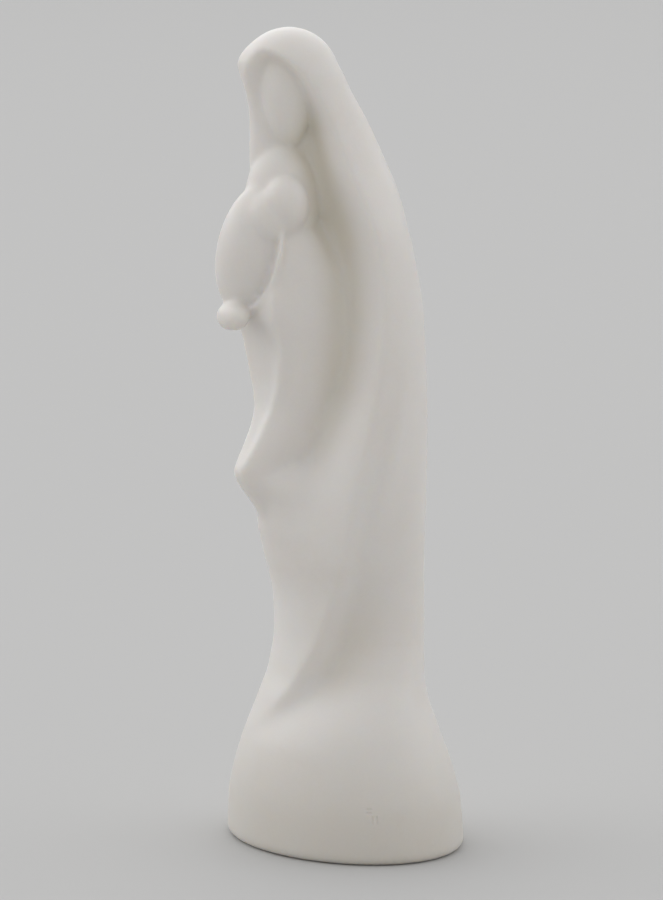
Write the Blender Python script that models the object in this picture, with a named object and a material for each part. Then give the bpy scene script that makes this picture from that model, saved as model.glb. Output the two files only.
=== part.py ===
"""Virgin and child, a smooth stylised figurine carved from one block.

One closed solid that stands on its flat underside. The figure faces -Y, her left is +X,
+Z is up and the origin is the centre of the underside.
"""
import math

import bmesh
import bpy
import numpy as np
from mathutils import Matrix
from mathutils import Vector

# Overall sizes in metres
HEIGHT = 0.250
BASE_WIDTH = 0.0894
BASE_DEPTH = 0.0670
FOOT_ROUND = 0.0024

# The forms held inside the cloak, in metres
FACE_WIDTH = 0.0156
FACE_LENGTH = 0.0310
CHEST_WIDTH = 0.0222
CHEST_LENGTH = 0.0360
BUNDLE_WIDTH = 0.0214
BUNDLE_LENGTH = 0.0410
POCKET_GAP = 0.0013
CHILD_HEAD_WIDTH = 0.0144
CHILD_HEAD_LENGTH = 0.0184
SHOULDER_WIDTH = 0.0176
LIP_WIDTH = 0.0019
HAND_WIDTH = 0.0088
HAND_LENGTH = 0.0160

# How finely the stone is worked: grain in metres, then counts and a share
GRAIN = 0.0010
SMOOTH_PASSES = 6
SMOOTH_SHARE = 0.5
FACES = 9600
RINGS = 200
TURNS = 160
FOOT_RINGS = 5
CROWN_RINGS = 21
ARMS_RINGS = 100
ARMS_TURNS = 72
EGG_SIDES = 48
EGG_RINGS = 32
LIP_STEPS = 40
LIP_SIDES = 4

# Colour and finish of the stone
STONE_COLOUR = (0.80, 0.78, 0.74, 1.0)
STONE_ROUGHNESS = 0.45

# The tables below hold the pose and the carving as thousandths of the height.
# Angles are turns about the figure's axis, from her front toward her left.

# Level, centre x, centre y, half width of the cloaked body.
COLUMN = (
    (0, 0, -3, 179),
    (60, 0, -4, 169),
    (95, 0, -5, 157),
    (140, 0, -6, 138),
    (180, 0, -5, 121),
    (215, 0, -1, 111),
    (265, 0, 3, 107),
    (310, 0, 2, 108),
    (360, 0, -2, 112),
    (520, 0, -2, 116),
    (640, 0, -7, 116),
    (700, -1, -11, 113),
    (748, -3, -16, 109),
    (796, -6, -26, 97),
    (840, -8, -37, 81),
    (888, -9, -49, 66),
    (936, -10, -67, 58),
    (960, -10, -74, 56),
    (1000, -10, -75, 56),
)
# Level, depth of the body as a share of its width: a broad foot and shoulders, a round head.
DEPTH_SHARE = (
    (0, 0.75),
    (140, 0.81),
    (660, 0.81),
    (748, 0.78),
    (796, 0.89),
    (840, 1.01),
    (888, 1.09),
    (1000, 1.09),
)
# Level, turn in degrees of the cloak edge on her left.
NEAR_RIM = (
    (80, -42),
    (130, -22),
    (200, 10),
    (330, 45),
    (500, 70),
    (700, 90),
    (880, 90),
    (940, 80),
    (965, 60),
    (980, 25),
    (1000, 20),
)
# Level, turn in degrees of the cloak edge on her right, turn over which the opening deepens behind it.
FAR_RIM = (
    (0, -62, 16),
    (540, -62, 16),
    (620, -56, 16),
    (700, -44, 16),
    (760, -30, 22),
    (804, -20, 40),
    (848, -16, 50),
    (892, -18, 46),
    (924, -15, 36),
    (948, -8, 26),
    (964, 2, 20),
    (976, 12, 16),
    (1000, 20, 16),
)
# Level, depth of the opening between the edges, turn in degrees that its near wall takes.
RECESS = (
    (0, 0, 50),
    (320, 0, 50),
    (380, 4, 50),
    (420, 11, 52),
    (460, 22, 55),
    (512, 37, 50),
    (580, 55, 41),
    (660, 65, 36),
    (744, 67, 34),
    (800, 60, 35),
    (860, 53, 36),
    (912, 46, 36),
    (944, 35, 32),
    (964, 16, 30),
    (978, 0, 30),
    (1000, 0, 30),
)
# Level, depth of the hollow that the lower cloak edge overhangs, turn in degrees that it runs out over.
HOLLOW = (
    (0, 0, 70),
    (128, 0, 80),
    (152, 3, 80),
    (178, 10, 78),
    (206, 21, 76),
    (238, 33, 75),
    (270, 37, 72),
    (320, 27, 62),
    (380, 12, 46),
    (432, 4, 32),
    (488, 1, 28),
    (540, 0, 24),
    (1000, 0, 24),
)
# Level, depth of the narrow fold behind the cloak edge.
FOLD = (
    (0, 0),
    (340, 0),
    (380, 1.4),
    (440, 2.8),
    (500, 2.8),
    (570, 1.2),
    (640, 0),
    (1000, 0),
)
# Level, swelling of the robe below the tip of the sleeves, its half width in degrees.
APRON = (
    (0, 0, 44),
    (290, 0, 44),
    (330, 3, 42),
    (368, 13, 38),
    (392, 22, 34),
    (408, 27, 31),
    (424, 35, 28),
    (440, 50, 25),
    (454, 61, 22),
    (464, 61, 20),
    (474, 46, 18),
    (486, 24, 16),
    (500, 8, 14),
    (528, 0, 12),
    (1000, 0, 12),
)
# Level, axis x, ridge y, half width at the ridges, extra on her right, dent of the front,
# half width of the flanks, half width and y of the root.
ARMS = (
    (384, -12, -96, 8, 0, 0, 48, 44, -32),
    (404, -12, -111, 8, 0, 0, 43, 44, -32),
    (424, -12, -123, 8, 0, 0, 37, 44, -32),
    (444, -12, -138, 9, 1, 0, 32, 44, -32),
    (464, -12, -147, 9, 2, 0, 29, 46, -32),
    (476, -12, -141, 12, 1.6, 0.4, 31, 48, -32),
    (498, -12, -129, 15, 1, 2.4, 38, 48, -32),
    (524, -12, -117, 18, 1, 3.6, 44, 48, -32),
    (548, -12, -110, 24, 2, 5, 50, 46, -32),
    (572, -12, -109, 34, 4, 7, 55, 50, -30),
    (596, -12, -110, 40, 5, 7, 58, 55, -28),
    (620, -12, -113, 45, 5, 5, 60, 58, -26),
    (640, -12, -120, 47, 5, 2, 61, 59, -26),
    (656, -12, -126, 48, 3, 0, 61, 59, -26),
    (672, -12, -126, 48, 3, 0, 61, 58, -26),
    (690, -12, -121, 48, 6, 0, 60, 56, -27),
    (708, -12, -118, 48, 7, 0, 58, 53, -30),
    (728, -12, -115, 48, 5, 0, 54, 45, -38),
    (748, -12, -113, 46, 3, 0, 48, 36, -48),
    (764, -12, -109, 38, 0, 0, 38, 24, -60),
    (775, -12, -100, 24, 0, 0, 24, 14, -68),
)
# Level, x, y of the sleeve's rolled lip, from the hand up the near side of the child.
LIP = (
    (651, -34, -131),
    (656, -18, -132),
    (664, -2, -130.5),
    (676, 14, -127),
    (691, 27, -122),
    (708, 34.5, -119),
    (726, 39, -116.5),
    (745, 41, -114),
    (764, 40, -111),
    (774, 37, -106),
)
# Level, share to which the crease behind the sleeves is rubbed out.
WEAR = (
    (0, 0),
    (450, 0),
    (540, 1),
    (790, 1),
    (850, 0),
    (1000, 0),
)

# Widths and places of the soft edges, in degrees
HOLLOW_START = 26.0
HOLLOW_HOLD = 34.0
FOLD_VALLEY = 12.0
FOLD_RISE = 23.0
FOLD_WIDTH = 6.5
APRON_TURN = -7.0

# Rubbed crease: its place as a share of the near wall, its reach in thousandths of the height, rubs
WEAR_AT = 0.8
WEAR_REACH = 24.0
WEAR_PASSES = 40
WEAR_LEAST = 0.01

# Shares: roundness of the cloak edge, rise behind the narrow fold, thickness of the lip at its ends
WALL_SOFT = 0.3
FOLD_LIFT = 0.6
LIP_END = 0.5

# Corners of the arms' section, as shares of its half widths and of its depth
DENT_SIDE = 0.55
RIDGE_SIDE = 0.95
RIDGE_FLARE = 0.2
FLANK_FLARE = 0.75
ROOT_FLARE = 0.25
ROOT_BACK = 0.6
ROOT_INNER = 0.9
EXTRA_FLANK = 0.5

# Rounding of the ridges and how far the root runs into the body, in thousandths of the height
RIDGE_DROP = 0.4
RIDGE_ROUND = 6.4
ROOT_CORNER = 20.0
ROOT_END = 32.0

# Pinched corner of the hood on her right: swelling, turn, widths and level
PINCH = 6.0
PINCH_TURN = -31.0
PINCH_WIDTH = 12.0
PINCH_LEVEL = 960.0
PINCH_HEIGHT = 20.0

# Level at which the crown of the hood starts to close and level of its tiny flat tip
CROWN = 940.0
CROWN_TIP = 999.98

# Axis points of the forms in the arms and in the hood, in thousandths of the height
FACE_AT = (-4.0, -82.6, 919.0)
FACE_LEAN = (-0.06, -0.06, 1.0)
CHEST_AT = (-12.0, -85.0, 784.0)
CHEST_LEAN = (0.0, 0.0, 1.0)
BUNDLE_AT = (-20.0, -119.6, 735.0)
BUNDLE_LEAN = (0.26, 0.13, 1.0)
CHILD_HEAD_AT = (22.0, -98.8, 788.0)
CHILD_HEAD_LEAN = (0.1, 0.1, 1.0)
SHOULDER_AT = (8.0, -108.0, 774.0)
HAND_AT = (-20.0, -147.0, 653.0)
HAND_LEAN = (0.95, -0.1, 0.1)

# Share by which the face is fuller at its upper end
FACE_FULLER = 0.12

# How far up the base sizes reach, as a share of the height
BASE_REACH = 0.3


def clear_scene():
    """Empty the scene before the figure is built."""
    for item in list(bpy.data.objects):
        bpy.data.objects.remove(item, do_unlink=True)


def follow(table, level):
    """Values of a table at a level, along a smooth curve that keeps its rises and falls."""
    keys = np.array(table, dtype=float)
    at = keys[:, 0]
    values = keys[:, 1:]
    step = np.diff(at)
    rise = np.diff(values, axis=0) / step[:, None]
    total = rise[:-1] + rise[1:]
    total[total == 0.0] = 1.0
    slope = np.zeros_like(values)
    slope[1:-1] = np.where(rise[:-1] * rise[1:] > 0.0, 2.0 * rise[:-1] * rise[1:] / total, 0.0)
    slope[0] = rise[0]
    slope[-1] = rise[-1]
    level = np.asarray(level, dtype=float)
    span = np.clip(np.searchsorted(at, level) - 1, 0, len(step) - 1)
    part = np.clip((level - at[span]) / step[span], 0.0, 1.0)[..., None]
    width = step[span][..., None]
    result = values[span] * (1.0 + 2.0 * part) * (1.0 - part) ** 2
    result = result + slope[span] * width * part * (1.0 - part) ** 2
    result = result + values[span + 1] * part ** 2 * (3.0 - 2.0 * part)
    result = result - slope[span + 1] * width * part ** 2 * (1.0 - part)
    return result


def follow_one(table, level):
    """The only value of a two-column table at a level."""
    return follow(table, level)[..., 0]


def column_at(level):
    """Centre and half sizes of the cloaked body at a level."""
    centre_x, centre_y, half_x = np.moveaxis(follow(COLUMN, level), -1, 0)
    return centre_x, centre_y, half_x, half_x * follow_one(DEPTH_SHARE, level)


def ease(share):
    """Soft step from 0 to 1."""
    share = np.clip(share, 0.0, 1.0)
    return share * share * (3.0 - 2.0 * share)


def wall_share(share):
    """Share of the opening's depth behind a rounded edge: steep at first, then level."""
    share = np.clip(share, 0.0, 1.0)
    share = share * share * (1.0 + WALL_SOFT) / (share + WALL_SOFT)
    return 1.0 - (1.0 - share) ** 3


def mound(offset, width):
    """Soft bump that is 1 in the middle."""
    return np.exp(-(offset / width) ** 2)


def base_scale(level):
    """Widening of the lower skirt that brings the foot to its named width and depth."""
    fade = 1.0 - ease(level / (1000.0 * BASE_REACH))
    half_width = COLUMN[0][3]
    half_depth = half_width * DEPTH_SHARE[0][1]
    wide = BASE_WIDTH / (2.0 * half_width * HEIGHT / 1000.0)
    deep = BASE_DEPTH / (2.0 * half_depth * HEIGHT / 1000.0)
    return 1.0 + (wide - 1.0) * fade, 1.0 + (deep - 1.0) * fade


def body_points(levels, turns):
    """Rings of the cloaked body with the opening, the edges and the folds carved in."""
    level = levels[:, None] * np.ones(len(turns))[None, :]
    turn = turns[None, :] * np.ones(len(levels))[:, None]
    degrees = np.degrees(turn)
    centre_x, centre_y, half_x, half_y = column_at(level)
    wide, deep = base_scale(level)
    crown = np.clip((level - CROWN) / (1000.0 - CROWN), 0.0, 1.0)
    close = np.sqrt(1.0 - crown ** 2)
    out_x = half_x * wide * close * np.sin(turn)
    out_y = -half_y * deep * close * np.cos(turn)
    reach = np.hypot(out_x, out_y)
    way_x = out_x / np.maximum(reach, 1e-6)
    way_y = out_y / np.maximum(reach, 1e-6)
    near = follow_one(NEAR_RIM, level)
    far, slope = np.moveaxis(follow(FAR_RIM, level), -1, 0)
    depth, wall = np.moveaxis(follow(RECESS, level), -1, 0)
    reach = reach - depth * wall_share((near - degrees) / wall) * ease((degrees - far) / slope)
    behind = degrees - near
    hollow, span = np.moveaxis(follow(HOLLOW, level), -1, 0)
    reach = reach - hollow * ease(behind / HOLLOW_START) * (1.0 - ease((behind - HOLLOW_HOLD) / span))
    fold = follow_one(FOLD, level)
    reach = reach - fold * mound(behind - FOLD_VALLEY, FOLD_WIDTH)
    reach = reach + FOLD_LIFT * fold * mound(behind - FOLD_RISE, FOLD_WIDTH)
    swell, spread = np.moveaxis(follow(APRON, level), -1, 0)
    reach = reach + swell * mound(degrees - APRON_TURN, spread)
    corner = mound(degrees - PINCH_TURN, PINCH_WIDTH) * mound(level - PINCH_LEVEL, PINCH_HEIGHT)
    reach = reach + PINCH * corner
    rounding = FOOT_ROUND / HEIGHT * 1000.0
    under = np.clip(1.0 - level / rounding, 0.0, 1.0)
    reach = np.maximum(reach - rounding * (1.0 - np.sqrt(1.0 - under ** 2)), 0.0)
    return np.stack([centre_x + reach * way_x, centre_y + reach * way_y, level], -1)


def arms_ring(level, count):
    """Section of the arms and sleeves: two front ridges, full sides and a root in the body."""
    axis, ridge, half, more, dent, side, root_half, root = follow(ARMS, level)
    middle = (ridge + root) / 2.0
    outline = []
    for sign, extra in ((1.0, 0.0), (-1.0, more)):
        front = half + extra
        flank = side + extra * EXTRA_FLANK
        run = [
            (0.0, ridge + dent),
            (front * DENT_SIDE, ridge + dent * DENT_SIDE),
            (front * RIDGE_SIDE, ridge + RIDGE_DROP),
            (front + (flank - front) * RIDGE_FLARE, ridge + RIDGE_ROUND),
            (front + (flank - front) * FLANK_FLARE, (ridge + middle) / 2.0),
            (flank, middle),
            (flank + (root_half - flank) * ROOT_FLARE, middle + (root - middle) * ROOT_BACK),
            (root_half, root),
            (root_half * ROOT_INNER, root + ROOT_CORNER),
            (0.0, root + ROOT_END),
        ]
        side_run = [(axis + sign * x, y) for x, y in run]
        outline.extend(side_run[:-1] if sign > 0.0 else side_run[:0:-1])
    corners = np.array(outline)
    place = np.arange(count) * len(corners) / count
    first = np.floor(place).astype(int)
    part = (place - first)[:, None]
    before, start, end, after = (corners[(first + k) % len(corners)] for k in (-1, 0, 1, 2))
    curve = 2.0 * start + (end - before) * part
    curve = curve + (2.0 * before - 5.0 * start + 4.0 * end - after) * part ** 2
    curve = curve + (3.0 * start - before - 3.0 * end + after) * part ** 3
    return np.column_stack([0.5 * curve, np.full(count, float(level))])


def skin(rings, name):
    """Closed form drawn up ring by ring from its lowest outline."""
    shape = bmesh.new()
    mark = shape.verts.layers.int.new("turn")
    count = len(rings[0])
    start = bmesh.ops.create_circle(shape, segments=count, radius=1.0)
    ring_verts = start["verts"]
    for index, vert in enumerate(ring_verts):
        vert[mark] = index
    ring_edges = list(shape.edges)
    scale = HEIGHT / 1000.0
    for vert in ring_verts:
        vert.co = Vector(rings[0][vert[mark]]) * scale
    bmesh.ops.contextual_create(shape, geom=ring_edges)
    for ring in rings[1:]:
        grown = bmesh.ops.extrude_edge_only(shape, edges=ring_edges)["geom"]
        ring_verts = [item for item in grown if isinstance(item, bmesh.types.BMVert)]
        fresh = set(ring_verts)
        ring_edges = [edge for edge in grown if isinstance(edge, bmesh.types.BMEdge)]
        ring_edges = [edge for edge in ring_edges if edge.verts[0] in fresh and edge.verts[1] in fresh]
        for vert in ring_verts:
            vert.co = Vector(ring[vert[mark]]) * scale
    bmesh.ops.contextual_create(shape, geom=ring_edges)
    bmesh.ops.recalc_face_normals(shape, faces=shape.faces)
    return keep(shape, name)


def keep(shape, name):
    """Turn a worked mesh into an object of the scene."""
    mesh = bpy.data.meshes.new(name)
    shape.to_mesh(mesh)
    shape.free()
    item = bpy.data.objects.new(name, mesh)
    bpy.context.scene.collection.objects.link(item)
    return item


def egg(name, at, lean, length, width, fuller=0.0, grow=0.0):
    """Egg on a leaning axis, fuller at its upper end."""
    shape = bmesh.new()
    bmesh.ops.create_uvsphere(shape, u_segments=EGG_SIDES, v_segments=EGG_RINGS, radius=1.0)
    for vert in shape.verts:
        swell = 1.0 + fuller * vert.co.z
        vert.co.x *= (width / 2.0 + grow) * swell
        vert.co.y *= (width / 2.0 + grow) * swell
        vert.co.z *= length / 2.0 + grow
    turn = Vector(lean).to_track_quat("Z", "Y").to_matrix().to_4x4()
    place = Matrix.Translation(Vector(at) * HEIGHT / 1000.0)
    bmesh.ops.transform(shape, matrix=place @ turn, verts=shape.verts)
    return keep(shape, name)


def rolled_lip():
    """Thin roll of cloth along the sleeve where it cups the child, thinner at both ends."""
    rise = np.linspace(0.0, 1.0, LIP_STEPS)
    curve = bpy.data.curves.new("lip", "CURVE")
    curve.dimensions = "3D"
    curve.bevel_depth = LIP_WIDTH / 2.0
    curve.bevel_resolution = LIP_SIDES
    curve.use_fill_caps = True
    line = curve.splines.new("POLY")
    line.points.add(LIP_STEPS - 1)
    levels = LIP[0][0] + (LIP[-1][0] - LIP[0][0]) * rise
    for point, level, (x, y), share in zip(line.points, levels, follow(LIP, levels), rise):
        point.co = (*(Vector((x, y, level)) * HEIGHT / 1000.0), 1.0)
        point.radius = LIP_END + (1.0 - LIP_END) * math.sin(math.pi * share)
    roll = bpy.data.objects.new("lip", curve)
    bpy.context.scene.collection.objects.link(roll)
    lip = finished(roll, "rolled_lip")
    bpy.data.objects.remove(roll, do_unlink=True)
    return lip


def finished(item, name):
    """New object that holds the result of an object's modifiers."""
    bpy.context.view_layer.update()
    graph = bpy.context.evaluated_depsgraph_get()
    mesh = bpy.data.meshes.new_from_object(item.evaluated_get(graph))
    mesh.name = name
    result = bpy.data.objects.new(name, mesh)
    bpy.context.scene.collection.objects.link(result)
    return result


def joined(items, name):
    """One object from the closed forms, which it takes out of the scene."""
    shape = bmesh.new()
    for item in items:
        shape.from_mesh(item.data)
    for item in items:
        bpy.data.objects.remove(item, do_unlink=True)
    return keep(shape, name)


def carve_arms():
    """Arms and sleeves with the pocket that the child lies in."""
    levels = np.linspace(ARMS[0][0], ARMS[-1][0], ARMS_RINGS)
    whole = skin([arms_ring(level, ARMS_TURNS) for level in levels], "arms_whole")
    hollow = egg("pocket", BUNDLE_AT, BUNDLE_LEAN, BUNDLE_LENGTH, BUNDLE_WIDTH, grow=POCKET_GAP)
    hollow.hide_render = True
    hollow.display_type = "WIRE"
    cut = whole.modifiers.new("Pocket", "BOOLEAN")
    cut.operation = "DIFFERENCE"
    cut.solver = "EXACT"
    cut.object = hollow
    arms = finished(whole, "arms")
    bpy.data.objects.remove(whole, do_unlink=True)
    bpy.data.objects.remove(hollow, do_unlink=True)
    return arms


def body_levels():
    """Levels of the rings: close at the foot and at the crown, even between them."""
    rounding = FOOT_ROUND / HEIGHT * 1000.0
    foot = rounding * np.linspace(0.0, 1.0, FOOT_RINGS, endpoint=False) ** 2
    rise = np.linspace(rounding, CROWN, RINGS)
    quarter = np.linspace(0.0, math.pi / 2.0, CROWN_RINGS + 1)[1:]
    crown = np.minimum(CROWN + (1000.0 - CROWN) * np.sin(quarter), CROWN_TIP)
    return np.concatenate([foot, rise, crown])


def carve_forms():
    """Every closed form of the group, still overlapping one another."""
    turns = np.linspace(-math.pi, math.pi, TURNS, endpoint=False)
    return [
        skin(body_points(body_levels(), turns), "cloak"),
        carve_arms(),
        egg("chest", CHEST_AT, CHEST_LEAN, CHEST_LENGTH, CHEST_WIDTH),
        egg("face", FACE_AT, FACE_LEAN, FACE_LENGTH, FACE_WIDTH, FACE_FULLER),
        egg("bundle", BUNDLE_AT, BUNDLE_LEAN, BUNDLE_LENGTH, BUNDLE_WIDTH),
        egg("child_head", CHILD_HEAD_AT, CHILD_HEAD_LEAN, CHILD_HEAD_LENGTH, CHILD_HEAD_WIDTH),
        egg("shoulder", SHOULDER_AT, BUNDLE_LEAN, SHOULDER_WIDTH, SHOULDER_WIDTH),
        rolled_lip(),
        egg("hand", HAND_AT, HAND_LEAN, HAND_LENGTH, HAND_WIDTH),
    ]


def crease_share(places):
    """Share to which each point, in thousandths of the height, is rubbed into the long crease."""
    x, y, level = places.T
    centre_x, centre_y, half_x, half_y = column_at(level)
    depth, wall = follow(RECESS, level).T
    foot = np.radians(follow_one(NEAR_RIM, level) - WEAR_AT * wall)
    out_x = half_x * np.sin(foot)
    out_y = -half_y * np.cos(foot)
    kept = 1.0 - depth / np.hypot(out_x, out_y)
    aside = np.hypot(x - centre_x - out_x * kept, y - centre_y - out_y * kept)
    return follow_one(WEAR, level) * mound(aside, WEAR_REACH)


def rub_crease(item):
    """Soften the crease between the sleeves and the cloak, as a thumb and a soft stone would."""
    mesh = item.data
    places = np.empty(len(mesh.vertices) * 3)
    mesh.vertices.foreach_get("co", places)
    shares = crease_share(places.reshape(-1, 3) * 1000.0 / HEIGHT)
    worn = item.vertex_groups.new(name="worn")
    for index in np.flatnonzero(shares > WEAR_LEAST):
        worn.add([int(index)], float(shares[index]), "REPLACE")
    rub = item.modifiers.new("Rub", "SMOOTH")
    rub.factor = SMOOTH_SHARE
    rub.iterations = WEAR_PASSES
    rub.vertex_group = worn.name


def fuse(group, name):
    """Melt the forms into one skin, smooth it and bring it down to its planned faces."""
    melt = group.modifiers.new("Melt", "REMESH")
    melt.mode = "VOXEL"
    melt.voxel_size = GRAIN
    melt.adaptivity = 0.0
    soften = group.modifiers.new("Soften", "SMOOTH")
    soften.factor = SMOOTH_SHARE
    soften.iterations = SMOOTH_PASSES
    fine = finished(group, "fine")
    bpy.data.objects.remove(group, do_unlink=True)
    rub_crease(fine)
    count = sum(len(face.vertices) - 2 for face in fine.data.polygons)
    thin = fine.modifiers.new("Thin", "DECIMATE")
    thin.ratio = min(1.0, FACES / count)
    result = finished(fine, name)
    bpy.data.objects.remove(fine, do_unlink=True)
    return result


def flatten_foot(item):
    """Lay the underside on the ground plane and give the figure its exact height."""
    mesh = item.data
    lowest = min(vert.co.z for vert in mesh.vertices)
    highest = max(vert.co.z for vert in mesh.vertices)
    stretch = HEIGHT / (highest - lowest)
    for vert in mesh.vertices:
        vert.co.z = (vert.co.z - lowest) * stretch
    mesh.update()


def colour(item):
    """Polished white stone over the whole figure."""
    stone = bpy.data.materials.new("white_stone")
    stone.use_nodes = True
    surface = stone.node_tree.nodes["Principled BSDF"]
    surface.inputs["Base Color"].default_value = STONE_COLOUR
    surface.inputs["Roughness"].default_value = STONE_ROUGHNESS
    surface.inputs["Metallic"].default_value = 0.0
    item.data.materials.clear()
    item.data.materials.append(stone)


def main():
    """Build the statue."""
    clear_scene()
    group = joined(carve_forms(), "group")
    statue = fuse(group, "virgin_and_child")
    flatten_foot(statue)
    colour(statue)


main()
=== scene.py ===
"""Virgin and child, a smooth figurine in polished alabaster: its carving, stone and studio."""
import math

import bmesh
import bpy
import numpy as np
from mathutils import Matrix
from mathutils import Vector
from mathutils.bvhtree import BVHTree


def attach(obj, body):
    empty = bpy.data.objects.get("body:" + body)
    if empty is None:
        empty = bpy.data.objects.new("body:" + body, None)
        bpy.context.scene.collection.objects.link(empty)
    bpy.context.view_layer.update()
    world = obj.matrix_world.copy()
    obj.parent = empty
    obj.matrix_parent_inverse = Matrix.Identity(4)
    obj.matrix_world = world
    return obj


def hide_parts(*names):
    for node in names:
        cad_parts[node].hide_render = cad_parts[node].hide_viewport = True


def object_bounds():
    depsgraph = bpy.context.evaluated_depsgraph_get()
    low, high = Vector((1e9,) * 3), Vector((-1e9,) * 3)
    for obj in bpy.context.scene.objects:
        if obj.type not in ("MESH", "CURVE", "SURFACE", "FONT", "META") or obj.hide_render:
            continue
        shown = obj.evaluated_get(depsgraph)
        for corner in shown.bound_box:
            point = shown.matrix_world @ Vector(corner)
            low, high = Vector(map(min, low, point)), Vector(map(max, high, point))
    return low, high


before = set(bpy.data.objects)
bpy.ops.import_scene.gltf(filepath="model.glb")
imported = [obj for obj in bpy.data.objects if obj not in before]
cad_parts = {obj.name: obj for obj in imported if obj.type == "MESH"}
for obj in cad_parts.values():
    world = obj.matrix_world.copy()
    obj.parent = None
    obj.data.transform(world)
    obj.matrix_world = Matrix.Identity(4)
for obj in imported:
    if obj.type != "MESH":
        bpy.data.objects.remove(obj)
cad_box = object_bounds()

bl_info = {
    "name": "Alabaster Virgin and Child",
    "version": (1, 0, 0),
    "blender": (4, 5, 0),
    "location": "View3D > Sidebar > Figurine",
    "description": "Carves a stylised virgin and child in alabaster and sets it in a pale studio",
    "category": "Object",
}

# The figure's own axes: it faces -Y, her left is +X, and the origin is the centre of the underside.
# The height is the frame's; the other sizes are metres, as the solid has them.
HEIGHT = cad_box[1].z - cad_box[0].z
BASE_WIDTH = 0.0894
BASE_DEPTH = 0.0670
FOOT_ROUND = 0.0024
FACE_WIDTH = 0.0156
FACE_LENGTH = 0.0310
CHEST_WIDTH = 0.0222
CHEST_LENGTH = 0.0392
BUNDLE_WIDTH = 0.0214
BUNDLE_LENGTH = 0.0410
POCKET_GAP = 0.0013
CHILD_HEAD_WIDTH = 0.0144
CHILD_HEAD_LENGTH = 0.0184
SHOULDER_WIDTH = 0.0176
LIP_WIDTH = 0.0019
HAND_WIDTH = 0.0088
HAND_LENGTH = 0.0160

# How finely the stone is worked: grain in metres, then counts and a share
GRAIN = 0.00088
PART_GRAIN = 0.0010
SMOOTH_PASSES = 9
SMOOTH_SHARE = 0.5
RINGS = 280
TURNS = 240
FOOT_RINGS = 6
CROWN_RINGS = 30
ARMS_RINGS = 140
ARMS_TURNS = 144
EGG_SIDES = 72
EGG_RINGS = 48
LIP_STEPS = 60
LIP_SIDES = 6
MARK_SPLITS = 3
SWEEP_STEPS = 16
SWEEP_SIDES = 96

# The tables below hold the pose and the carving as thousandths of the height.
# Angles are turns about the figure's axis, from her front toward her left.

# Level, centre x, centre y, half width of the cloaked body.
COLUMN = (
    (0, 0, -3, 179),
    (60, 0, -4, 169),
    (95, 0, -5, 157),
    (140, 0, -6, 138),
    (180, 0, -5, 121),
    (215, 0, -1, 111),
    (265, 0, 3, 107),
    (310, 0, 2, 108),
    (360, 0, -2, 112),
    (520, 0, -2, 116),
    (640, 0, -7, 116),
    (700, -1, -11, 113),
    (748, -3, -16, 109),
    (796, -6, -26, 97),
    (840, -8, -37, 81),
    (888, -9, -49, 66),
    (936, -10, -67, 58),
    (960, -10, -74, 56),
    (1000, -10, -75, 56),
)
# Level, depth of the body as a share of its width: a broad foot and shoulders, a round head.
DEPTH_SHARE = (
    (0, 0.75),
    (140, 0.81),
    (660, 0.81),
    (748, 0.78),
    (796, 0.89),
    (840, 1.01),
    (888, 1.09),
    (1000, 1.09),
)
# Level, turn in degrees of the cloak edge on her left.
NEAR_RIM = (
    (80, -42),
    (130, -22),
    (200, 10),
    (330, 45),
    (500, 70),
    (700, 90),
    (880, 90),
    (940, 80),
    (965, 60),
    (980, 25),
    (1000, 20),
)
# Level, turn in degrees of the cloak edge on her right, turn that the opening deepens over.
FAR_RIM = (
    (0, -62, 16),
    (540, -62, 16),
    (620, -56, 16),
    (700, -44, 16),
    (760, -30, 22),
    (804, -20, 40),
    (848, -16, 50),
    (892, -18, 46),
    (924, -15, 36),
    (948, -8, 26),
    (964, 2, 20),
    (976, 12, 16),
    (1000, 20, 16),
)
# Level, depth of the opening between the edges, turn in degrees that its near wall takes.
RECESS = (
    (0, 0, 50),
    (320, 0, 50),
    (380, 4, 50),
    (420, 11, 52),
    (460, 22, 55),
    (512, 37, 50),
    (580, 55, 41),
    (660, 65, 36),
    (744, 67, 34),
    (800, 60, 35),
    (860, 53, 36),
    (912, 46, 36),
    (944, 35, 32),
    (964, 16, 30),
    (978, 0, 30),
    (1000, 0, 30),
)
# Level, depth of the hollow under the lower cloak edge, turn in degrees that it runs out over.
HOLLOW = (
    (0, 0, 70),
    (128, 0, 80),
    (150, 4, 80),
    (168, 11, 78),
    (190, 24, 76),
    (216, 36, 75),
    (246, 38, 73),
    (284, 33, 68),
    (326, 24, 60),
    (380, 12, 46),
    (432, 4, 32),
    (488, 1, 28),
    (540, 0, 24),
    (1000, 0, 24),
)
# Level, depth of the narrow fold behind the cloak edge.
FOLD = (
    (0, 0),
    (340, 0),
    (380, 1.4),
    (440, 2.8),
    (500, 2.8),
    (570, 1.2),
    (640, 0),
    (1000, 0),
)
# Level, swelling of the robe below the tip of the sleeves, its half width in degrees.
APRON = (
    (0, 0, 44),
    (290, 0, 44),
    (330, 3, 42),
    (368, 13, 38),
    (392, 22, 34),
    (408, 27, 31),
    (424, 35, 28),
    (440, 50, 25),
    (454, 61, 22),
    (464, 61, 20),
    (474, 46, 18),
    (486, 24, 16),
    (500, 8, 14),
    (528, 0, 12),
    (1000, 0, 12),
)
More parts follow.
